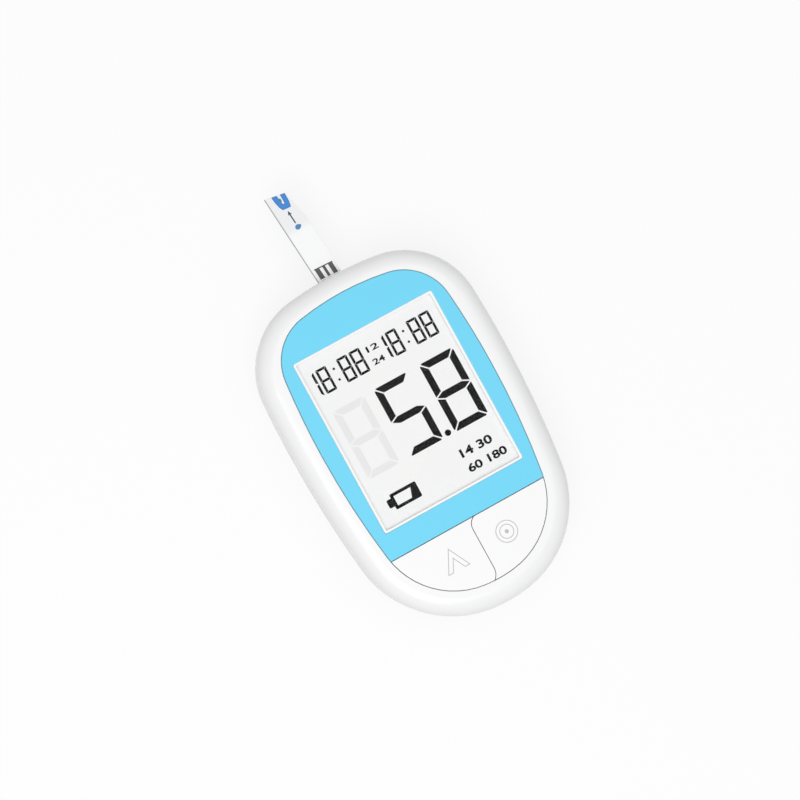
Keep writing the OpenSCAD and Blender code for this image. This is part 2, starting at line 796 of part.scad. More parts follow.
// A conical coil spring along +Y: a hexagonal wire swept round a helix
spring_wire = 0.3;
spring_turns = 4;
spring_steps = 12;
spring_wide_r = 3.4;
spring_narrow_r = 2.2;
function spring_radius(s) = spring_wide_r + (spring_narrow_r - spring_wide_r) * s;
function spring_point(s, len) =
    let (a = 360 * spring_turns * s, r = spring_radius(s))
    [r * cos(a), spring_wire + (len - 2 * spring_wire) * s, r * sin(a)];
function spring_ring(s, len) =
    let (a = 360 * spring_turns * s, out = [cos(a), 0, sin(a)], c = spring_point(s, len))
    [for (k = [0:5]) c + spring_wire * (cos(60 * k) * out + sin(60 * k) * [0, 1, 0])];
module coil_spring(len) {
    n = spring_turns * spring_steps;
    rings = [for (i = [0:n]) each spring_ring(i / n, len)];
    walls = [for (i = [0:n - 1], k = [0:5])
        let (a = 6 * i + k, b = 6 * i + (k + 1) % 6) each [[a, b, b + 6], [a, b + 6, a + 6]]];
    ends = [for (k = [1:4]) each [[0, k + 1, k], [6 * n, 6 * n + k, 6 * n + k + 1]]];
    polyhedron(rings, concat(walls, ends));
}

module battery_springs() color("#b9bcc0") {
    translate([-cell_x, bay_bottom_y + plate_metal_t, cell_z]) coil_spring(spring_len);
    translate([cell_x, bay_top_y - plate_metal_t, cell_z])
        mirror([0, 1, 0]) coil_spring(spring_len);
}

// One bridging plate at the bottom of the bay and two separate plates at its top
module battery_plates() color("#c4c7cb") {
    size = cell_r * 1.4;
    both_sides() for (y = [bay_bottom_y, bay_top_y - plate_metal_t])
        translate([cell_x - size / 2, y, cell_z - size / 2]) cube([size, plate_metal_t, size]);
    translate([-cell_x, bay_bottom_y, cell_z - size / 2]) cube([2 * cell_x, plate_metal_t, size / 2]);
}

// ---- Screws ----

// A screw that points up from its seat, with a cross recess in its head
recess_w = 0.4;
module screw(r, len, cap_r, cap_h) {
    recess_len = 1.2 * cap_r;
    tube(r, -cap_h / 4, len);
    difference() {
        tube(cap_r, -cap_h, 0);
        for (a = [0, 90]) rotate(a) translate([-recess_len / 2, -recess_w / 2, -cap_h - over])
            cube([recess_len, recess_w, over + cap_h / 2]);
    }
}

module housing_screws() color("#8f9398")
    boss_places() translate([0, 0, head_seat_z]) screw(screw_r, screw_len, head_r, head_h);

module board_screws() color("#8f9398")
    post_places() translate([0, 0, board_z])
        screw(board_screw_r, board_screw_len, board_head_r, board_head_h);

front_housing();
rear_housing();
face_panel();
panel_adhesive();
display_window();
lcd_glass();
lcd_holder();
zebra_connector();
left_key();
right_key();
left_switch();
right_switch();
left_plunger();
right_plunger();
main_board();
controller_chip();
buzzer();
strip_port();
strip_contacts();
test_strip();
battery_door();
battery_cell_left();
battery_cell_right();
battery_springs();
battery_plates();
housing_screws();
board_screws();
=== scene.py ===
# %% [markdown]
# # A blood glucose meter
# The meter's moulded parts, screws, cells and board are already there as a packed model in which
# each has its true size and place. This script loads that model and dresses it: it rounds the
# edges that catch light, lays the printing and the display's figures on, and gives each part a
# finish of its own. Every length is written in millimetres and turned into metres with MM.

# %% Load the packed model
import json
import math

import bmesh
import bpy
from mathutils import Matrix, Vector


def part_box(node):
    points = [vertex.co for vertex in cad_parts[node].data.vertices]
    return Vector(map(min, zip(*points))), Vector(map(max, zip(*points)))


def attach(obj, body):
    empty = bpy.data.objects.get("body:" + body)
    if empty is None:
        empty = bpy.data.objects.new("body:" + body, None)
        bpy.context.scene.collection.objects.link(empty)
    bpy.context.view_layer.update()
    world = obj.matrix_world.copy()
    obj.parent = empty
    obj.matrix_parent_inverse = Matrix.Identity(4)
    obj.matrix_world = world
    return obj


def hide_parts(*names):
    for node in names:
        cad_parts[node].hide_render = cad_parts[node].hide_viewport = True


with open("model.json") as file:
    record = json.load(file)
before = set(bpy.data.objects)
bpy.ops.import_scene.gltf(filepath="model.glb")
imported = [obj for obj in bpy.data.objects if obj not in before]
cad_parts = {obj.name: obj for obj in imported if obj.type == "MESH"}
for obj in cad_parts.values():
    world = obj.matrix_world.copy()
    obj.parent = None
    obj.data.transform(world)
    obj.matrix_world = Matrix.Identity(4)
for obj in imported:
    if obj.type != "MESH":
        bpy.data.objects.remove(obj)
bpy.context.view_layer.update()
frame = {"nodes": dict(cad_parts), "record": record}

MM = 0.001
nodes = frame["nodes"]
scene = bpy.context.scene
scene.view_settings.view_transform = "Standard"

# %% [markdown]
# ## The camera
# The photograph looks almost square at the display from about half a metre, with the meter turned
# to the left. A long lens keeps the oval's two ends alike. The camera could be turned by three
# angles, but a place, a point that it looks at and the direction that is up in the picture are
# easier to read and to change.

# %% Camera
LENS = 100
CAMERA_AT = Vector((-56.6, 6.9, 549.8)) * MM
CAMERA_AIM = Vector((-0.4, 10.6, 20.5)) * MM
PICTURE_UP = math.radians(61.07)

forward = (CAMERA_AIM - CAMERA_AT).normalized()
across = forward.cross(Vector((math.cos(PICTURE_UP), math.sin(PICTURE_UP), 0))).normalized()
camera = bpy.data.objects.new("camera", bpy.data.cameras.new("camera"))
camera.data.lens = LENS
camera.data.clip_start = 10 * MM
camera.matrix_world = Matrix.Translation(CAMERA_AT) @ Matrix(
    (across, across.cross(forward), -forward)).transposed().to_4x4()
scene.collection.objects.link(camera)
scene.camera = camera
lean = math.degrees(forward.angle((0, 0, -1)))
print("camera leans from straight above by", round(lean, 1), "degrees")

# %% [markdown]
# ## Writing shader nodes as sums
# A finish is a graph of nodes. Wired by hand, even one minus a mask takes five lines, so a small
# class wraps a socket and lets Python's own signs add the Math nodes.

# %% A socket that sums can be written with
class Wire:
    def __init__(self, graph, socket):
        self.graph = graph
        self.socket = socket

    def __add__(self, other):
        return self.graph.maths("ADD", self, other)

    def __sub__(self, other):
        return self.graph.maths("SUBTRACT", self, other)

    def __rsub__(self, other):
        return self.graph.maths("SUBTRACT", other, self)

    def __mul__(self, other):
        return self.graph.maths("MULTIPLY", self, other)

    def __gt__(self, other):
        return self.graph.maths("GREATER_THAN", self, other)

    def __lt__(self, other):
        return self.graph.maths("LESS_THAN", self, other)

    __radd__ = __add__
    __rmul__ = __mul__


print("signs that a wire takes: + - * > <")

# %% [markdown]
# Every other kind of node comes from one method, which takes the node's settings and what goes
# into its sockets. The patterns that most finishes need, such as noise and relief, could be wired
# in each of them, but as methods that take millimetres they stay one line long.

# %% The graph of a finish
class Graph:
    def __init__(self, tree):
        self.tree = tree
        tree.nodes.clear()

    def node(self, kind, settings=None, sockets=None, out=0):
        """Adds a node. Its settings go first, because they can change which sockets it has."""
        made = self.tree.nodes.new(kind)
        for name, value in (settings or {}).items():
            setattr(made, name, value)
        for name, value in (sockets or {}).items():
            if isinstance(value, Wire):
                self.tree.links.new(value.socket, made.inputs[name])
            else:
                made.inputs[name].default_value = value
        return Wire(self, made.outputs[out]) if len(made.outputs) else None

    def maths(self, operation, first, second):
        return self.node("ShaderNodeMath", {"operation": operation}, {0: first, 1: second})

    def mix(self, share, first, second):
        """Mixes two colours. A Mix node takes them in sockets 6 and 7 and gives output 2."""
        first, second = (c if isinstance(c, Wire) else (*c, 1) for c in (first, second))
        return self.node(
            "ShaderNodeMix", {"data_type": "RGBA"}, {0: share, 6: first, 7: second}, out=2)

    def noise(self, size, detail=2, stretch=(1, 1, 1)):
        """Cloudy noise whose lumps are about size millimetres across."""
        place = self.node("ShaderNodeMapping", None, {
            "Vector": self.node("ShaderNodeTexCoord", out="Object"), "Scale": stretch})
        return self.node("ShaderNodeTexNoise", None, {
            "Vector": place, "Scale": 1 / (size * MM), "Detail": detail})

    def bump(self, height, depth):
        """Relief of depth millimetres between the height's lowest and highest values."""
        return self.node("ShaderNodeBump", None, {"Height": height, "Distance": depth * MM})

    def axis(self, letter):
        """How far along an axis of the meter a point lies, in millimetres."""
        place = self.node("ShaderNodeSeparateXYZ", None, {
            "Vector": self.node("ShaderNodeTexCoord", out="Object")}, out=letter)
        return place * (1 / MM)


print("what a graph can add:", [n for n in vars(Graph) if not n.startswith("_")])

# %% [markdown]
# Every finish of the meter ends in one Principled shader, and they differ only in what goes into
# its sockets. So a finish is made from a function that takes a graph and names those sockets.

# %% A finish
def finish(name, build):
    """A material whose Principled shader takes the sockets that build(graph) gives."""
    material = bpy.data.materials.new(name)
    material.use_nodes = True
    graph = Graph(material.node_tree)
    sockets = build(graph)
    shader = graph.node("ShaderNodeBsdfPrincipled", None, {
        key: (*value, 1) if isinstance(value, tuple) else value for key, value in sockets.items()})
    graph.node("ShaderNodeOutputMaterial", None, {"Surface": shader})
    return material


print("node helpers ready")

# %% [markdown]
# ## Light and floor
# A product on white is lit by large soft sources, so that a colour comes out as it was mixed and
# the rounded rim turns gently grey. The sky gives about half of the light. For the camera, and for
# what shiny surfaces mirror, it is plain white, which makes the background. A ray that a matt
# surface has already spread sees the darker level instead, so the white adds no light.

# %% Sky
SKY_LEVEL = 0.56

world = bpy.data.worlds.new("sky")
scene.world = world
world.use_nodes = True
sky = Graph(world.node_tree)
rays = {name: sky.node("ShaderNodeLightPath", out=name) for name in (
    "Is Camera Ray", "Is Glossy Ray", "Is Transmission Ray", "Diffuse Depth")}
seen = (rays["Is Camera Ray"] + rays["Is Glossy Ray"] + rays["Is Transmission Ray"]) * (
    rays["Diffuse Depth"] < 0.5)
level = SKY_LEVEL + (1 - SKY_LEVEL) * seen
sky.node("ShaderNodeOutputWorld", None, {
    "Surface": sky.node("ShaderNodeBackground", None, {"Color": (1, 1, 1, 1), "Strength": level})})
print("sky gives", SKY_LEVEL, "of the light")

# %% [markdown]
# Two softboxes give the rest: a wide one high on the left, which leaves the top and right of the
# rim darker as in the photograph, and a weaker one nearly overhead. Watts say little about how
# bright a thing becomes, so each lamp is set by the level that it gives on the display.

# %% Softboxes
DISPLAY_CENTRE = Vector((0, 7, 20)) * MM


def softbox(name, place, width, level):
    """A square lamp that makes a white display as bright as level says.

    A lamp's watts over pi and over the squared distance fall on a surface that faces it, and a
    white surface is fully bright when pi of them do.
    """
    aim = DISPLAY_CENTRE - Vector(place) * MM
    lamp = bpy.data.lights.new(name, "AREA")
    lamp.size = width * MM
    slant = -aim.normalized().z
    lamp.energy = level * math.pi ** 2 * aim.length_squared / slant
    box = bpy.data.objects.new(name, lamp)
    turn = aim.to_track_quat("-Z", "Y").to_matrix().to_4x4()
    box.matrix_world = Matrix.Translation(Vector(place) * MM) @ turn
    scene.collection.objects.link(box)


softbox("key_softbox", place=(-300, -240, 760), width=560, level=0.33)
softbox("top_softbox", place=(60, 40, 900), width=700, level=0.16)

# %% [markdown]
# The floor is a thin pale film rather than a solid slab: it takes a faint shadow of the meter, and
# it lets the open battery door and the back be seen from below. Diffuse light passes it, so the
# back of the meter isn't left black. It lies a hair under the flat back, because two surfaces at
# one height flicker, and it fades out around the meter, so that no horizon shows.

# %% Floor
FLOOR_REACH = 3000
FLOOR_GAP = 0.08
FLOOR_SHARE = 0.22
FADE_START = 100
FADE_END = 700

floor_shape = bmesh.new()
bmesh.ops.create_grid(floor_shape, x_segments=1, y_segments=1, size=FLOOR_REACH * MM)
floor_mesh = bpy.data.meshes.new("floor")
floor_shape.to_mesh(floor_mesh)
floor = bpy.data.objects.new("floor", floor_mesh)
floor.location.z = -FLOOR_GAP * MM
scene.collection.objects.link(floor)
floor_paint = bpy.data.materials.new("pale_floor")
floor_paint.use_nodes = True
floor_graph = Graph(floor_paint.node_tree)
from_meter = floor_graph.node("ShaderNodeVectorMath", {"operation": "LENGTH"}, {
    0: floor_graph.node("ShaderNodeTexCoord", out="Object")}, out="Value")
share = floor_graph.node("ShaderNodeMapRange", {"interpolation_type": "SMOOTHSTEP"}, {
    "Value": from_meter, "From Min": FADE_START * MM, "From Max": FADE_END * MM,
    "To Min": FLOOR_SHARE, "To Max": 0.0})
floor_film = floor_graph.node("ShaderNodeMixShader", None, {
    0: share,
    1: floor_graph.node("ShaderNodeBsdfTransparent"),
    2: floor_graph.node("ShaderNodeBsdfDiffuse", None, {"Color": (0.95, 0.95, 0.95, 1)})})
floor_graph.node("ShaderNodeOutputMaterial", None, {"Surface": floor_film})
floor_mesh.materials.append(floor_paint)
floor.visible_diffuse = False
floor.visible_shadow = False
print("floor lies", FLOOR_GAP, "mm under the back")

# %% [markdown]
# ## Finishes of the moulded plastic
# Glossy housings come out of a polished mould: the surface waves a little, as orange peel does,
# and its shine wanders. The back is moulded against a spark-eroded steel, which leaves a fine
# grain. Both are the same graph, so one function takes the size and depth of the relief.

# %% Moulded plastic
CLOUD_SIZE = 9
CLOUD_SHADE = 0.975
UNEVEN = 0.05


def moulded(name, colour, roughness, grain, depth, coat=0.0):
    """A plastic whose relief has lumps that are grain millimetres across and depth deep."""
    def build(graph):
        cloud = graph.noise(CLOUD_SIZE, detail=3)
        fine = graph.noise(grain, detail=3)
        dark = tuple(c * CLOUD_SHADE for c in colour)
        return {
            "Base Color": graph.mix(cloud, dark, colour),
            "Roughness": roughness + (cloud - 0.5) * UNEVEN + (fine - 0.5) * UNEVEN,
            "Coat Weight": coat,
            "Coat Roughness": 0.12,
            "Normal": graph.bump(fine, depth),
        }
    return finish(name, build)


gloss_white = moulded(
    "gloss_white_shell", (0.92, 0.922, 0.925), 0.30, grain=2.2, depth=0.006, coat=0.25)
grained_white = moulded("grained_white_shell", (0.88, 0.885, 0.89), 0.50, grain=0.22, depth=0.02)
key_white = moulded("satin_white_keys", (0.945, 0.946, 0.948), 0.38, grain=0.5, depth=0.003)
frame_white = moulded("white_frame", (0.80, 0.80, 0.77), 0.55, grain=0.3, depth=0.01)
black_case = moulded("black_case", (0.022, 0.022, 0.025), 0.55, grain=0.12, depth=0.012)
switch_black = moulded("switch_case", (0.03, 0.031, 0.034), 0.48, grain=0.2, depth=0.01)
plunger_ochre = moulded("switch_plunger", (0.38, 0.25, 0.09), 0.42, grain=0.2, depth=0.006)
print("materials so far:", len(bpy.data.materials))

# %% [markdown]
# ## Finishes of the face
# The panel is a sheet of clear film printed from behind, so the colour lies under a smooth skin.
# A coat over an even print shows that better than a glossy paint would. The print has a faint
# speckle. A darker line of painted shade runs along the panel's cut edge, where it stands in for
# the shade in the seam round the panel, but not by the keys, where their real seam is dark enough.

# %% Printed panel
SPECKLE = 0.03


def printed(name, colour, roughness, coat=0.3):
    def build(graph):
        dots = graph.noise(0.12, detail=1)
        cloud = graph.noise(14, detail=2)
        thin = tuple(min(1, c * (1 + SPECKLE) + SPECKLE * 0.05) for c in colour)
        return {
            "Base Color": graph.mix(dots * 0.6 + cloud * 0.4, colour, thin),
            "Roughness": roughness + (cloud - 0.5) * 0.06,
            "Coat Weight": coat,
            "Coat Roughness": 0.1,
            "Normal": graph.bump(graph.noise(3, detail=1), 0.004),
        }
    return finish(name, build)


PANEL_BLUE = (0.130, 0.650, 0.895)

panel_blue = printed("blue_panel", PANEL_BLUE, 0.42)
# painted shade: a darker blue that stands in for the shade in the seam round the panel
painted_seam_shade = printed("panel_seam_shade_paint", (0.10, 0.33, 0.43), 0.5)
adhesive_white = printed("adhesive_sheet", (0.86, 0.86, 0.84), 0.7, coat=0)
border_white = printed("window_border_print", (0.94, 0.94, 0.94), 0.45, coat=0)
key_print = printed("key_symbol_print", (0.50, 0.50, 0.50), 0.5, coat=0)
print("panel colour", PANEL_BLUE)

# %% [markdown]
# The window is clear acrylic with a coat against reflections, for which a low index of refraction
# stands: plain acrylic would mirror the white studio and turn the black figures grey. It casts no
# shadow, and light that is spread by the display passes it too, because light that has to find its
# way through a refracting sheet takes very many samples.
# Behind it, the display is a grey polariser with a fine brushed grain. Its grey is mixed a touch
# warm, because the clear sheet over it is cool. A segment that is switched on is nearly black and
# has no shine, and one that is off is only a shade darker than the rest.

# %% Window and display
COATED_IOR = 1.12


def acrylic(graph):
    dust = graph.noise(2.5, detail=4)
    return {
        "Base Color": (0.985, 0.992, 0.997),
        "Roughness": 0.01 + dust * 0.008,
        "IOR": COATED_IOR,
        "Transmission Weight": 1.0,
    }


def polariser(name, colour, roughness, shine=0.0):
    def build(graph):
        brushed = graph.noise(0.3, detail=2, stretch=(1, 0.06, 1))
        cloud = graph.noise(20, detail=2)
        shade = tuple(c * 0.965 for c in colour)
        return {
            "Base Color": graph.mix(brushed * 0.5 + cloud * 0.5, shade, colour),
            "Roughness": roughness + (brushed - 0.5) * 0.08,
            "Specular IOR Level": shine,
            "Normal": graph.bump(brushed, 0.001),
        }
    return finish(name, build)


clear_acrylic = finish("clear_window", acrylic)
display_grey = polariser("display_glass", (0.943, 0.931, 0.923), 0.55, shine=0.12)
segment_black = polariser("segment_on", (0.013, 0.013, 0.0135), 0.6)
segment_ghost = polariser("segment_off", (0.853, 0.839, 0.835), 0.6, shine=0.12)
print("display finishes ready")

# %% [markdown]
# ## Finishes of the strip
# A test strip is laminated film. Its cover is white, with a cooler end where the sample goes in.
# That end could be a face with a material of its own, but the two would meet in a hard line. One
# finish that measures how far along the strip a point lies can fade instead.

# %% Strip cover
joints = {joint["name"]: joint for joint in frame["record"]["behaviour"]["joints"]}
STRIP_LINE = Vector(joints["strip_slide"]["axis"])
STRIP_LEAN = math.atan2(-STRIP_LINE.x, STRIP_LINE.y)
STRIP_ROOT_Y = 44.95
COOL_FROM = 13.7
COOL_FADE = (-0.8, 1.6)


def strip_cover_film(graph):
    along = graph.axis("Y") * math.cos(STRIP_LEAN) + graph.axis("X") * -math.sin(STRIP_LEAN)
    fibre = graph.noise(0.15, detail=3)
    edge = STRIP_ROOT_Y * math.cos(STRIP_LEAN) + COOL_FROM
    cool = graph.node("ShaderNodeMapRange", {"interpolation_type": "SMOOTHSTEP"}, {
        "Value": along, "From Min": edge + COOL_FADE[0], "From Max": edge + COOL_FADE[1]})
    white = graph.mix(fibre, (0.94, 0.943, 0.947), (0.965, 0.967, 0.97))
    return {
        "Base Color": graph.mix(cool, white, (0.853, 0.868, 0.884)),
        "Roughness": 0.42 + (fibre - 0.5) * 0.1,
        "Normal": graph.bump(fibre, 0.004),
    }


strip_white = finish("strip_cover_film", strip_cover_film)
print("strip leans", round(math.degrees(STRIP_LEAN), 1), "degrees")

# %% [markdown]
# The base film under the cover and the inks printed on it are all matt, with a fine speckle, and
# differ in colour. So one function makes them. The leads near the port are of carbon ink, which is
# a little rougher than the others.

# %% Base film and inks
def film(name, colour, roughness=0.5):
    def build(graph):
        speck = graph.noise(0.1, detail=3)
        light = tuple(min(1, c * 1.12 + 0.004) for c in colour)
        return {
            "Base Color": graph.mix(speck, colour, light),
            "Roughness": roughness + (speck - 0.5) * 0.12,
            "Normal": graph.bump(speck, 0.003),
        }
    return finish(name, build)


# the base film's grey also shows as painted shade along the strip's left side, where the cover is
# drawn back
base_film_and_side_shade = film("strip_base_film_and_side_shade", (0.34, 0.35, 0.36))
ink_blue = film("strip_blue_ink", (0.033, 0.215, 0.615))
ink_navy = film("strip_blue_rim_ink", (0.012, 0.11, 0.36))
ink_slate = film("strip_arrow_ink", (0.012, 0.04, 0.075))
ink_drop = film("strip_drop_ink", (0.06, 0.20, 0.45))
ink_carbon = film("strip_carbon", (0.075, 0.075, 0.075), 0.6)
ink_green = film("strip_fill_mark", (0.02, 0.26, 0.20))
print("strip finishes:", [m.name for m in bpy.data.materials if m.name.startswith("strip_")])

# %% [markdown]
# ## Finishes of the metal parts
# Plated springs, contact plates and screws are smooth metal with fine lines from drawing or
# rolling. Noise that is stretched along one axis gives such lines, and a coarser noise keeps the
# shine from being even all over.

# %% Metals
def metal(name, colour, roughness, lines=(1, 1, 0.05)):
    def build(graph):
        drawn = graph.noise(0.08, detail=3, stretch=lines)
        cloud = graph.noise(1.5, detail=3)
        dull = tuple(c * 0.86 for c in colour)
        return {
            "Base Color": graph.mix(cloud, dull, colour),
            "Metallic": 1.0,
            "Roughness": roughness + (drawn - 0.5) * 0.16 + (cloud - 0.5) * 0.1,
            "Normal": graph.bump(drawn, 0.003),
        }
    return finish(name, build)


spring_steel = metal("spring_steel", (0.72, 0.73, 0.75), 0.24)
screw_steel = metal("screw_steel", (0.58, 0.59, 0.61), 0.34)
gold = metal("gold_contacts", (0.86, 0.62, 0.24), 0.25)
print("metals ready")

# %% [markdown]
# A battery cell is a steel can in a lacquered jacket that leaves both ends bare. The model's can
# could be cut into rings with materials of their own. The finish measures how far along the cell a
# point lies instead, so the model's mesh stays whole.

# %% Cell jackets
JACKET = (0.05, 0.13, 0.36)
CAP_BAND = (0.62, 0.64, 0.66)
BARE_CAN = (0.70, 0.71, 0.72)
JACKET_REACH = (0.7, 42.8)
BAND_START = 33.5


def cell_jacket(name, node, flat_end):
    """flat_end is -1 where the flat pole points down the meter and 1 where it points up."""
    low, high = (p.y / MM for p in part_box(node))
    pole = low if flat_end < 0 else high

    def build(graph):
        from_pole = (graph.axis("Y") - pole) * -flat_end
        scuff = graph.noise(0.5, detail=4, stretch=(1, 0.3, 1))
        before_end = from_pole < JACKET_REACH[1]
        in_jacket = (from_pole > JACKET_REACH[0]) * before_end
        in_band = (from_pole > BAND_START) * before_end
        lacquer = graph.mix(in_band, JACKET, CAP_BAND)
        return {
            "Base Color": graph.mix(in_jacket, BARE_CAN, lacquer),
            "Metallic": 1 - in_jacket * 0.55,
            "Roughness": 0.26 + scuff * 0.12,
            "Coat Weight": in_jacket * 0.5,
            "Normal": graph.bump(scuff, 0.004),
        }
    return finish(name, build)


jacket_left = cell_jacket("cell_jacket_left", "battery_cell_left", -1)
jacket_right = cell_jacket("cell_jacket_right", "battery_cell_right", 1)

# %% [markdown]
# ## Finishes of the board
# Solder mask is a green lacquer through which the copper tracks show as lighter lines. A brick
# pattern bent by noise gives lines that turn and branch without drawing any circuit. The
# connector between board and glass is rubber in thin layers, so it gets stripes.

# %% Board and rubber
def solder_mask(graph):
    place = graph.node("ShaderNodeTexCoord", out="Object")
    tracks = graph.node("ShaderNodeTexBrick", {"offset": 0.37, "squash": 1.6}, {
        "Vector": place, "Scale": 300, "Mortar Size": 0.035, "Mortar Smooth": 0.2,
        "Brick Width": 1.4, "Row Height": 0.5}, out="Fac")
    cloud = graph.noise(4, detail=3)
    mask = graph.mix(cloud, (0.012, 0.115, 0.045), (0.018, 0.145, 0.06))
    return {
        "Base Color": graph.mix(tracks, mask, (0.035, 0.23, 0.09)),
        "Roughness": 0.3 + cloud * 0.1,
        "Coat Weight": 0.4,
        "Normal": graph.bump(tracks, 0.03),
    }


def layered_rubber(graph):
    layers = graph.node("ShaderNodeTexWave", {"bands_direction": "X"}, {
        "Vector": graph.node("ShaderNodeTexCoord", out="Object"), "Scale": 1600, "Distortion": 0.0})
    return {
        "Base Color": graph.mix(layers, (0.02, 0.02, 0.022), (0.30, 0.30, 0.32)),
        "Roughness": 0.65 + graph.noise(0.2) * 0.1,
    }


board_green = finish("green_board", solder_mask)
rubber_layers = finish("conductive_rubber", layered_rubber)
print("materials in all:", len(bpy.data.materials))

# %% [markdown]
# ## Dressing a part of the model
# A part of the packed model is a loose set of triangles with knife-sharp edges. Real moulded edges
# have a small radius that catches light, so each visible part is copied, its triangles are joined
# into whole faces, and the sharp edges get a narrow bevel. A bevel modifier could do this too, but
# a bmesh lets each edge be picked by where it lies.

# %% Whole faces and soft edges
SHARP = math.radians(32)
NEARLY_FLAT = math.radians(0.4)
WELD = 0.002


def whole_faces(node):
    """A bmesh copy of a part with its triangles joined into whole flat faces."""
    shape = bmesh.new()
    shape.from_mesh(nodes[node].data)
    for layer in list(shape.loops.layers.uv):
        shape.loops.layers.uv.remove(layer)
    bmesh.ops.remove_doubles(shape, verts=shape.verts, dist=WELD * MM)
    bmesh.ops.dissolve_limit(
        shape, angle_limit=NEARLY_FLAT, use_dissolve_boundaries=False,
        verts=shape.verts, edges=shape.edges)
    return shape


def sharp_edges(shape, keep=lambda edge: True):
    return [e for e in shape.edges
            if len(e.link_faces) == 2 and e.calc_face_angle(0) > SHARP and keep(e)]


def soften(shape, edges, width, segments=2):
    bmesh.ops.bevel(
        shape, geom=edges, offset=width * MM, offset_type="OFFSET", segments=segments,
        profile=0.5, affect="EDGES", material=-1, clamp_overlap=True)


print("edges are sharp from", round(math.degrees(SHARP)), "degrees")

# Shading stays smooth across a bevel and flat on the flats, because the normals are weighted by
# area.

# %% From a shape to a piece
AREA_WEIGHT = 90


def as_piece(name, shape, body, materials):
    """Turns a bmesh into a piece that moves with a body of the model."""
    mesh = bpy.data.meshes.new(name)
    shape.to_mesh(mesh)
    shape.free()
    for material in materials:
        mesh.materials.append(material)
    mesh.shade_smooth()
    mesh.set_sharp_from_angle(angle=SHARP)
    piece = bpy.data.objects.new(name, mesh)
    scene.collection.objects.link(piece)
    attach(piece, body)
    return piece


def flats_by_area(piece):
    weighted = piece.modifiers.new("weighted_normals", "WEIGHTED_NORMAL")
    weighted.keep_sharp = True
    weighted.weight = AREA_WEIGHT
    return piece


# %% [markdown]
# ### Which edges are rounded
# The inside of a part isn't seen, so only the edges in its flat outer face are bevelled. The screw
# wells cut into the back's curved flank, and their rims leave the flat face there. So they are
# picked by how the faces beside them lean.

# %% Edges by place
SKIN = 0.02
LEANS_DOWN = (-0.98, -0.05)


def middle(edge):
    return (edge.verts[0].co + edge.verts[1].co) / 2


def near_top(level):
    """Picks the edges that lie in a top face or above it."""
    return lambda edge: middle(edge).z > level - SKIN * MM


def in_back(edge):
    return middle(edge).z < SKIN * MM


def on_flank(edge):
    """Picks the edges of faces that lean downwards without being flat."""
    return LEANS_DOWN[0] < min(face.normal.z for face in edge.link_faces) < LEANS_DOWN[1]


print("edges within", SKIN, "mm of a flat face belong to it")

# %% [markdown]
# One function dresses a whole part. The edges on a flank are rounded first, because they are picked
# by the faces beside them, and rounding the other edges would change those.

# %% A dressed part
UPRIGHT = 0.3


def widened(shape, width):
    """Moves the upright walls of a part outwards."""
    walls = {v: v.normal.xy.normalized() for v in shape.verts if v.normal.xy.length > UPRIGHT}
    for vert, out in walls.items():
        vert.co.xy += out * width * MM


def dressed_part(
        node, name, body, material, radius, keep=lambda edge: True, first=None, wider=0.0):
    """A copy that stands for a part, with the sharp edges that keep and first pick rounded."""
    shape = whole_faces(node)
    if first:
        soften(shape, sharp_edges(shape, first), radius)
    widened(shape, wider)
    soften(shape, sharp_edges(shape, keep), radius)
    piece = flats_by_area(as_piece(name, shape, body, [material]))
    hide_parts(node)
    print(name, len(piece.data.polygons), "faces")
    return piece


print("a point is on a wall where its normal reaches sideways by over", UPRIGHT)

# %% [markdown]
# ### Housing halves
# The front half's outer rounding is modelled already. What it lacks is the small radius round the
# panel's recess and the key opening, and the back half lacks it round the door's opening and the
# screw wells.

# %% Housing halves
FACE_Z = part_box("front_housing")[1].z
SHELL_EDGE = 0.12
BACK_EDGE = 0.15

dressed_part(
    "front_housing", "front_shell", "housing", gloss_white, SHELL_EDGE,
    keep=near_top(FACE_Z))
dressed_part(
    "rear_housing", "rear_shell", "housing", grained_white, BACK_EDGE,
    keep=in_back, first=on_flank)

# %% [markdown]
# ### Panel
# The panel's darker edge line is painted shade: it stands in for the shade in the seam round the
# panel. It could be a thin piece of its own, but it is a narrow band of the sheet's own faces with
# a second material. An inset makes such a band along each edge of the sheet. Only the outer one
# gets the painted shade, and not by the keys. A band is told from the wide face by its perimeter,
# which is large for its area.

# %% Panel
WINDOW_LOW, WINDOW_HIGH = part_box("display_window")
SEAM_SHADE_WIDTH = 0.16
PANEL_EDGE = 0.06
WINDOW_REACH = 1.5
FACES_UP = 0.99
NARROW_FROM = 1.2


def panel_with_seam_shade():
    shape = whole_faces("face_panel")
    top = [f for f in shape.faces if f.normal.z > FACES_UP]
    bmesh.ops.inset_region(shape, faces=top, thickness=SEAM_SHADE_WIDTH * MM, use_even_offset=True)
    soften(shape, sharp_edges(shape, near_top(FACE_Z)), PANEL_EDGE)
    reach = WINDOW_REACH * MM
    by_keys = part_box("face_panel")[0].y + SEAM_SHADE_WIDTH * MM
    for face in shape.faces:
        spot = face.calc_center_median()
        by_window = (WINDOW_LOW.x - reach < spot.x < WINDOW_HIGH.x + reach
                     and WINDOW_LOW.y - reach < spot.y < WINDOW_HIGH.y + reach)
        narrow = face.calc_perimeter() * SEAM_SHADE_WIDTH * MM > NARROW_FROM * face.calc_area()
        # the outer narrow band, away from the window and the keys, gets the painted seam shade
        face.material_index = int(narrow and not by_window and spot.y > by_keys)
    return shape


face_sheet = flats_by_area(as_piece(
    "face_sheet", panel_with_seam_shade(), "housing", [panel_blue, painted_seam_shade]))
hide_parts("face_panel")
print("face_sheet line faces:", sum(p.material_index for p in face_sheet.data.polygons))

# %% [markdown]
# ### Window, keys and door
# The window casts no shadow, as said above. The keys are drawn a hundredth of a millimetre wider on
# each side than they are moulded, because in the photograph the seam round them is thinner than
# the play that a moulded key needs.

# %% Window, keys and door
WINDOW_EDGE = 0.04
KEY_EDGE = 0.10
KEY_WIDER = 0.01
KEY_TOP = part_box("left_key")[1].z

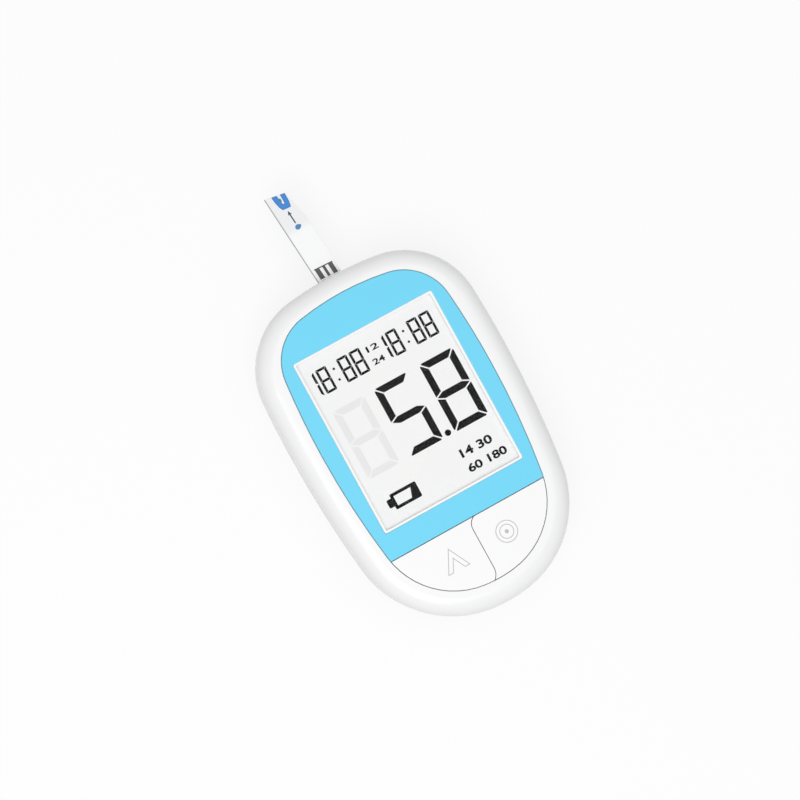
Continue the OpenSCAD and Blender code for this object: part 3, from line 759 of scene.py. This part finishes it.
window_pane = dressed_part(
    "display_window", "window_pane", "housing", clear_acrylic, WINDOW_EDGE)
window_pane.visible_shadow = False
window_pane.visible_diffuse = False
for side in ("left", "right"):
    dressed_part(
        f"{side}_key", f"{side}_key_cap", f"{side}_key", key_white, KEY_EDGE,
        keep=near_top(KEY_TOP), wider=KEY_WIDER)
dressed_part(
    "battery_door", "door_cover", "battery_door", grained_white, BACK_EDGE,
    keep=in_back)

# %% [markdown]
# ## Inner parts
# The board, the cells, the springs and the rest could be dressed too. But only a little of them
# shows, through the open door, the strip's slot and the seams, so they keep the model's own shapes
# and only get their finishes.

# %% Finishes for the inner parts
INNER = {
    "panel_adhesive": adhesive_white, "lcd_glass": display_grey, "lcd_holder": frame_white,
    "zebra_connector": rubber_layers, "left_switch": switch_black, "right_switch": switch_black,
    "left_plunger": plunger_ochre, "right_plunger": plunger_ochre, "main_board": board_green,
    "controller_chip": black_case, "buzzer": black_case, "strip_port": black_case,
    "strip_contacts": gold, "battery_cell_left": jacket_left, "battery_cell_right": jacket_right,
    "battery_springs": spring_steel, "battery_plates": spring_steel,
    "housing_screws": screw_steel, "board_screws": screw_steel,
}
for node, material in INNER.items():
    nodes[node].material_slots[0].material = material
print("inner parts finished:", len(INNER))

# %% [markdown]
# ## The display's figures
# Printing and figures could be a pattern in a material, but shapes keep their sharp edges from
# close by. Each starts flat, in millimetres. Three helpers change flat shapes: one rounds corners,
# one leaves a frame of each face, and one takes a rim off each face.

# %% Helpers for flat shapes
CLOSE = 0.01


def rounded(shape, radius, keep=lambda vert: True):
    """Rounds the kept corners of flat shapes and joins points that two curves share."""
    corners = [v for v in shape.verts if keep(v)]
    bmesh.ops.bevel(
        shape, geom=corners, offset=radius, offset_type="OFFSET", segments=4,
        profile=0.5, affect="VERTICES", material=-1, clamp_overlap=True)
    bmesh.ops.remove_doubles(shape, verts=shape.verts, dist=CLOSE)
    shape.normal_update()
    return shape


def frames(shape, width):
    """Leaves a frame of each face, as wide as width."""
    inner = list(shape.faces)
    bmesh.ops.inset_individual(shape, faces=inner, thickness=width, use_even_offset=True)
    bmesh.ops.delete(shape, geom=inner, context="FACES")


def shrunk(shape, width):
    """Takes a rim as wide as width off each face."""
    bmesh.ops.split_edges(shape, edges=shape.edges)
    rims = bmesh.ops.inset_individual(
        shape, faces=list(shape.faces), thickness=width, use_even_offset=True)
    bmesh.ops.delete(shape, geom=rims["faces"], context="FACES")


print("points closer than", CLOSE, "mm are joined")

# %% [markdown]
# The liquid crystal draws a figure as separate bars. Here a sheet of two cells is inset, which
# makes a frame with mitred corners in each cell, and the two bars that meet between the cells are
# narrowed and joined into one. A last inset of each bar leaves the thin gaps between them, and the
# figure's outer corners are rounded.

# %% Seven bars from two cells
BARS = {
    "a": (0, 1), "b": (1, 0.5), "c": (1, -0.5), "d": (0, -1), "e": (-1, -0.5), "f": (-1, 0.5),
    "g": (0, 0)}


def seven_bars(left, right, low, high, stroke, gap, lit):
    """A flat figure between four outer limits in millimetres, with the bars that lit names."""
    half_w = (right - left + gap) / 2
    half_h = (high - low + gap) / 2
    bar = stroke + gap
    shape = bmesh.new()
    bmesh.ops.create_grid(shape, x_segments=1, y_segments=2, size=1)
    bmesh.ops.scale(shape, vec=(half_w, half_h, 1), verts=shape.verts)
    shared = [e for e in shape.edges if len(e.link_faces) == 2]
    frames(shape, bar)
    for vert in shape.verts:
        if 0 < abs(vert.co.y) < 1.5 * bar:
            vert.co.y = math.copysign(bar / 2, vert.co.y)
    bmesh.ops.dissolve_edges(shape, edges=shared)
    reach = {name: Vector((x * half_w, y * half_h, 0)) for name, (x, y) in BARS.items()}
    off = [f for f in shape.faces if min(
        reach, key=lambda name: (reach[name] - f.calc_center_median()).length) not in lit]
    bmesh.ops.delete(shape, geom=off, context="FACES")
    shrunk(shape, gap / 2)

    def at_corner(vert):
        return abs(vert.co.x) > half_w - 2 * gap and abs(vert.co.y) > half_h - 2 * gap

    rounded(shape, stroke / 3, at_corner)
    bmesh.ops.translate(shape, vec=((left + right) / 2, (low + high) / 2, 0), verts=shape.verts)
    return shape


print("bars in a figure:", len(BARS))

# %% [markdown]
# The other marks start as a disc, a box or an outline through a few corners. All flat shapes of one
# ink are gathered in one sheet.

# %% Discs, boxes and outlines
def add_to(sheet, shape):
    """Adds one flat shape to a sheet of them."""
    mesh = bpy.data.meshes.new("part_of_sheet")
    shape.to_mesh(mesh)
    shape.free()
    sheet.from_mesh(mesh)
    bpy.data.meshes.remove(mesh)


def disc(x, y, radius, segments=32):
    shape = bmesh.new()
    bmesh.ops.create_circle(shape, cap_ends=True, segments=segments, radius=radius)
    bmesh.ops.translate(shape, vec=(x, y, 0), verts=shape.verts)
    return shape


def outline(*points):
    """A flat face through a few corners."""
    shape = bmesh.new()
    shape.faces.new([shape.verts.new((x, y, 0)) for x, y in points])
    shape.normal_update()
    return shape


def rectangle(left, right, low, high):
    return outline((left, low), (right, low), (right, high), (left, high))


def hollow(outer, inner):
    """The flat ring between two outlines."""
    sheet = bmesh.new()
    for edge_loop in (outer, inner):
        bmesh.ops.delete(edge_loop, geom=list(edge_loop.faces), context="FACES_ONLY")
        add_to(sheet, edge_loop)
    bmesh.ops.triangle_fill(sheet, edges=sheet.edges, use_beauty=True)
    return sheet


print("helpers for outlines ready")

# %% [markdown]
# The small numbers are numerals of the built-in font. Drawing them by hand would take long, so
# Blender sets the text, its flat mesh is taken, and each axis is stretched so that it fills a box.

# %% Numbers
TEXT_WELD = 0.001


def numbers(text, left, right, low, high, weight=0.03):
    """Plain numerals as a flat mesh that fills a box."""
    letters = bpy.data.curves.new("numerals", "FONT")
    letters.body = text
    letters.offset = weight
    letters.resolution_u = 6
    carrier = bpy.data.objects.new("numerals", letters)
    scene.collection.objects.link(carrier)
    bpy.context.view_layer.update()
    typeset = carrier.evaluated_get(bpy.context.evaluated_depsgraph_get())
    flat = bpy.data.meshes.new_from_object(typeset)
    bpy.data.objects.remove(carrier)
    bpy.data.curves.remove(letters)
    shape = bmesh.new()
    shape.from_mesh(flat)
    bpy.data.meshes.remove(flat)
    bmesh.ops.remove_doubles(shape, verts=shape.verts, dist=TEXT_WELD)
    for axis, (start, end) in enumerate(((left, right), (low, high))):
        places = [v.co[axis] for v in shape.verts]
        first, reach = min(places), max(places) - min(places)
        for vert in shape.verts:
            vert.co[axis] = start + (vert.co[axis] - first) / reach * (end - start)
    return shape


print("numbers ready")

# %% [markdown]
# A sheet then gets its thickness and its place in a single step. Ink has nearly no thickness, but
# two surfaces at one height flicker, so prints stand one to three hundredths of a millimetre high.

# %% From a sheet to a piece
def laid_on(name, sheet, place, thickness, body, material):
    """Gives a sheet of flat shapes, in millimetres, a thickness and lays it on a surface."""
    for face in sheet.faces:
        if face.normal.z < 0:
            face.normal_flip()
    rise = bmesh.ops.extrude_face_region(sheet, geom=list(sheet.faces), use_keep_orig=True)
    top = [v for v in rise["geom"] if isinstance(v, bmesh.types.BMVert)]
    bmesh.ops.translate(sheet, vec=(0, 0, thickness), verts=top)
    bmesh.ops.recalc_face_normals(sheet, faces=sheet.faces)
    bmesh.ops.transform(sheet, matrix=place @ Matrix.Scale(MM, 4), verts=sheet.verts)
    return as_piece(name, sheet, body, [material])


print("drawing helpers ready")

# %% [markdown]
# The display shows two clock times, a large reading with a point, a few small numbers and a sign
# for the cells. Left of the reading, a figure that is switched off can still be seen faintly. The
# edges of each were measured in the picture and carried back onto the display with the camera.

# %% The time, the reading and the signs
GLASS_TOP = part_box("lcd_glass")[1].z
MARK_DEPTH = 0.03
SMALL = {"low": 20.2, "high": 26.5, "stroke": 0.61, "gap": 0.06}
LARGE = {"low": -2.6, "high": 15.8, "stroke": 1.75, "gap": 0.34}
EIGHT = "abcdefg"
FIVE = "afgcd"
ONE = "bc"
COLON_DOT = 0.30
POINT_DOT = 0.78
SIGN_CORNER = 0.35

dark = bmesh.new()
for left, right, lit in (
        (-18.56, -15.49, ONE), (-14.87, -12.07, EIGHT), (-9.15, -6.35, EIGHT),
        (-5.76, -2.92, EIGHT), (0.51, 3.58, ONE), (4.20, 7.00, EIGHT),
        (10.00, 12.76, EIGHT), (13.35, 16.15, EIGHT)):
    add_to(dark, seven_bars(left, right, lit=lit, **SMALL))
for left, right, lit in ((-4.67, 4.59, FIVE), (7.78, 17.05, EIGHT)):
    add_to(dark, seven_bars(left, right, lit=lit, **LARGE))
for x in (-10.59, 8.48):
    for y in (24.8, 21.9):
        add_to(dark, disc(x, y, COLON_DOT))
add_to(dark, disc(6.15, -1.83, POINT_DOT))
add_to(dark, numbers("12", -1.55, 1.55, 24.2, 25.7, weight=0.02))
add_to(dark, numbers("24", -1.55, 1.55, 20.8, 22.3, weight=0.02))
add_to(dark, numbers("14 30", 6.3, 14.8, -8.95, -6.75))
add_to(dark, numbers("60 180", 6.3, 16.7, -12.95, -10.85))

case = rounded(rectangle(-13.6, -6.54, -12.1, -8.08), SIGN_CORNER)
add_to(dark, hollow(case, rectangle(-12.82, -7.32, -11.32, -8.86)))
knob = rectangle(-14.9, -13.6, -11.15, -9.03)
add_to(dark, rounded(knob, SIGN_CORNER, lambda vert: vert.co.x < -14))
charge = outline((-9.0, -11.32), (-7.32, -11.32), (-7.32, -8.86), (-8.15, -8.86))
add_to(dark, charge)

on_glass = Matrix.Translation((0, 0, GLASS_TOP))
display_marks = laid_on(
    "display_marks", dark, on_glass, MARK_DEPTH, "housing", segment_black)
ghost = seven_bars(-16.0, -7.4, lit=EIGHT, **LARGE)
laid_on("display_ghost", ghost, on_glass, MARK_DEPTH, "housing", segment_ghost)
print("display shapes:", len(display_marks.data.polygons), "faces")

# %% [markdown]
# A thin white border is printed along the window's edge. It hides the ledge that the window rests
# on and the glue there, and it makes the display's clean white outline. A flat ring that is laid on
# the window leaves the window's own faces whole. Like the window, the ring lets light pass to the
# display.

# %% White border of the window
BORDER_WIDTH = 0.5
BORDER_BACK = 0.05
BORDER_CORNER = 0.45
BORDER_DEPTH = 0.012

outer_low = [c / MM + BORDER_BACK for c in WINDOW_LOW.xy]
outer_high = [c / MM - BORDER_BACK for c in WINDOW_HIGH.xy]


def border_box(inwards):
    return rectangle(
        outer_low[0] + inwards, outer_high[0] - inwards,
        outer_low[1] + inwards, outer_high[1] - inwards)


window_border = laid_on(
    "window_border", hollow(rounded(border_box(0), BORDER_CORNER), border_box(BORDER_WIDTH)),
    Matrix.Translation((0, 0, WINDOW_HIGH.z)), BORDER_DEPTH, "housing", border_white)
window_border.visible_shadow = False
window_border.visible_diffuse = False
print("border starts at", [round(c, 2) for c in outer_low])

# %% [markdown]
# ## The signs on the keys
# Each key has one pale sign of which only the outline is printed: a caret on the left one, and two
# rings round a dot on the right one. Each outline is a thin frame that is left of a flat polygon.
# It stands only a hair above the key and moves with it.

# %% Key signs
PRINT_DEPTH = 0.02
LINE = 0.2
CARET = (
    (-10.6, -31.9), (-9.1, -31.9), (-7.55, -28.9), (-6.0, -31.9), (-4.5, -31.9), (-7.55, -26.0))
RING_MIDDLE = (6.9, -29.3)
RING_RADII = (2.75, 1.8)
RING_POINTS = 48
DOT_RADIUS = 0.5

on_key = Matrix.Translation((0, 0, KEY_TOP))
caret = outline(*CARET)
frames(caret, LINE)
laid_on("left_key_symbol", caret, on_key, PRINT_DEPTH, "left_key", key_print)

rings = disc(*RING_MIDDLE, DOT_RADIUS)
for radius in RING_RADII:
    ring = disc(*RING_MIDDLE, radius, RING_POINTS)
    frames(ring, LINE)
    add_to(rings, ring)
laid_on("right_key_symbol", rings, on_key, PRINT_DEPTH, "right_key", key_print)

# %% [markdown]
# ## The test strip
# The strip is a grey base film with a white cover glued on. The model has it as one solid, so it
# is cut at the glue line into two layers, and the cover is drawn back from the left edge, so that
# the grey base shows there as a thin line. The grey is the base film's own colour, but the line
# stands in for the shade on the strip's left side, so it is painted shade. The printing lies on the
# cover and leans with the strip.

# %% Strip layers
GLUE_ABOVE_MIDDLE = 0.02
strip_low, strip_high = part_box("test_strip")
GLUE_Z = (strip_low.z + strip_high.z) / 2 + GLUE_ABOVE_MIDDLE * MM
SIDE_SHADE_LINE = 0.22
LAYER_EDGE = 0.03
LEFT_PART = -3
lean_back = Matrix.Rotation(-STRIP_LEAN, 4, "Z") @ Matrix.Translation((0, -STRIP_ROOT_Y * MM, 0))


def strip_layer(name, keep_top, material):
    shape = whole_faces("test_strip")
    everything = list(shape.verts) + list(shape.edges) + list(shape.faces)
    bmesh.ops.bisect_plane(
        shape, geom=everything, plane_co=(0, 0, GLUE_Z), plane_no=(0, 0, 1),
        clear_inner=keep_top, clear_outer=not keep_top)
    bmesh.ops.holes_fill(shape, edges=[e for e in shape.edges if e.is_boundary])
    if keep_top:
        bmesh.ops.transform(shape, matrix=lean_back, verts=shape.verts)
        # the cover is drawn back here so that the grey base shows as a line of painted shade along
        # the strip's left side
        left_side = [v for v in shape.verts if v.co.x < LEFT_PART * MM]
        bmesh.ops.translate(shape, vec=(SIDE_SHADE_LINE * MM, 0, 0), verts=left_side)
        bmesh.ops.transform(shape, matrix=lean_back.inverted(), verts=shape.verts)
    soften(shape, sharp_edges(shape), LAYER_EDGE, segments=1)
    return as_piece(name, shape, "test_strip", [material])


strip_base = strip_layer("strip_base_film_and_side_shade", False, base_film_and_side_shade)
strip_layer("strip_cover_film", True, strip_white)
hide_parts("test_strip")
print("strip layers meet at", round(GLUE_Z / MM, 2))

# %% [markdown]
# ### What is printed on the strip
# A blue horseshoe marks where the sample goes in, and an arrow and a drop show which way. Each is a
# flat outline through points that are measured across the strip from its middle and up from the
# port. Its corners could be drawn with many points, but a bevel of the corner points rounds them.

# %% Printing helpers
on_strip = lean_back.inverted() @ Matrix.Translation((0, 0, strip_high.z))
INK_DEPTH = 0.015
INK_BACK = 0.05
STRIP_LEFT = -3.2
STRIP_TIP = 24.6
TIP_SLOPE = -1.2 / 5.3


def tip_edge(x):
    """The point on the strip's slanted end that lies x to the right of the strip's middle."""
    return (x, STRIP_TIP + (x - STRIP_LEFT) * TIP_SLOPE - INK_BACK)


def print_on_strip(name, sheet, ink, lift=0.0):
    place = on_strip @ Matrix.Translation((0, 0, lift * MM))
    return laid_on(name, sheet, place, INK_DEPTH, "test_strip", ink)


print("strip printing starts at", [round(c, 2) for c in tip_edge(0)])

# %% Horseshoe, arrow and drop
RIM_WIDTH = 0.13
RIM_LIFT = 0.006
HORSESHOE_CORNER = 0.28
ROUND_BELOW = 21.9
DROP_CORNER = 0.3
FILL_CORNER = 0.1


def horseshoe():
    shape = outline(
        tip_edge(-1.4), (-1.35, 22.7), (-1.1, 21.1), (-0.65, 20.05), (1.5, 19.75), (1.85, 21.2),
        tip_edge(1.98), tip_edge(0.78), (0.62, 21.2), (0.16, 21.25), tip_edge(-0.08))
    return rounded(shape, HORSESHOE_CORNER, lambda vert: vert.co.y < ROUND_BELOW)


print_on_strip("strip_blue_mark", horseshoe(), ink_blue)
dark_rim = horseshoe()
frames(dark_rim, RIM_WIDTH)
print_on_strip("strip_blue_rim", dark_rim, ink_navy, lift=RIM_LIFT)

arrow = outline(
    (0.05, 15.75), (0.37, 15.75), (0.37, 18.28), (0.69, 18.15), (0.21, 19.3), (-0.27, 18.15),
    (0.05, 18.28))
print_on_strip("strip_arrow", arrow, ink_slate)

drop = outline(
    (1.2, 14.75), (0.6, 15.3), (-0.1, 15.35), (-0.6, 14.75), (-0.35, 14.1), (0.35, 13.95),
    (0.85, 14.3))
print_on_strip("strip_drop", rounded(drop, DROP_CORNER, lambda vert: vert.co.x < 1), ink_drop)
fill_mark = rounded(rectangle(0.02, 0.36, 22.0, 22.9), FILL_CORNER)
print_on_strip("strip_fill_mark", fill_mark, ink_green)
print("horseshoe, arrow and drop printed")

# %% [markdown]
# Near the port, the leads of carbon ink show as three legs under a bar. In the picture they slant
# against the strip, so each point is moved along the strip by how far across it lies.

# %% Carbon leads
LEAD_LOW = 0.55
LEAD_HIGH = 3.55
LEAD_BAR = 0.3
LEAD_SLANT = -0.11

leads = rectangle(-2.35, 2.62, LEAD_HIGH - LEAD_BAR, LEAD_HIGH)
for left, right in ((-2.2, -1.0), (-0.2, 0.5), (1.34, 2.49)):
    add_to(leads, rectangle(left, right, LEAD_LOW, LEAD_HIGH - LEAD_BAR))
for vert in leads.verts:
    vert.co.y += vert.co.x * LEAD_SLANT
print_on_strip("strip_carbon_leads", leads, ink_carbon)

# %% [markdown]
# ## Sizes
# The dressed meter has to stay as large as the model it dresses.
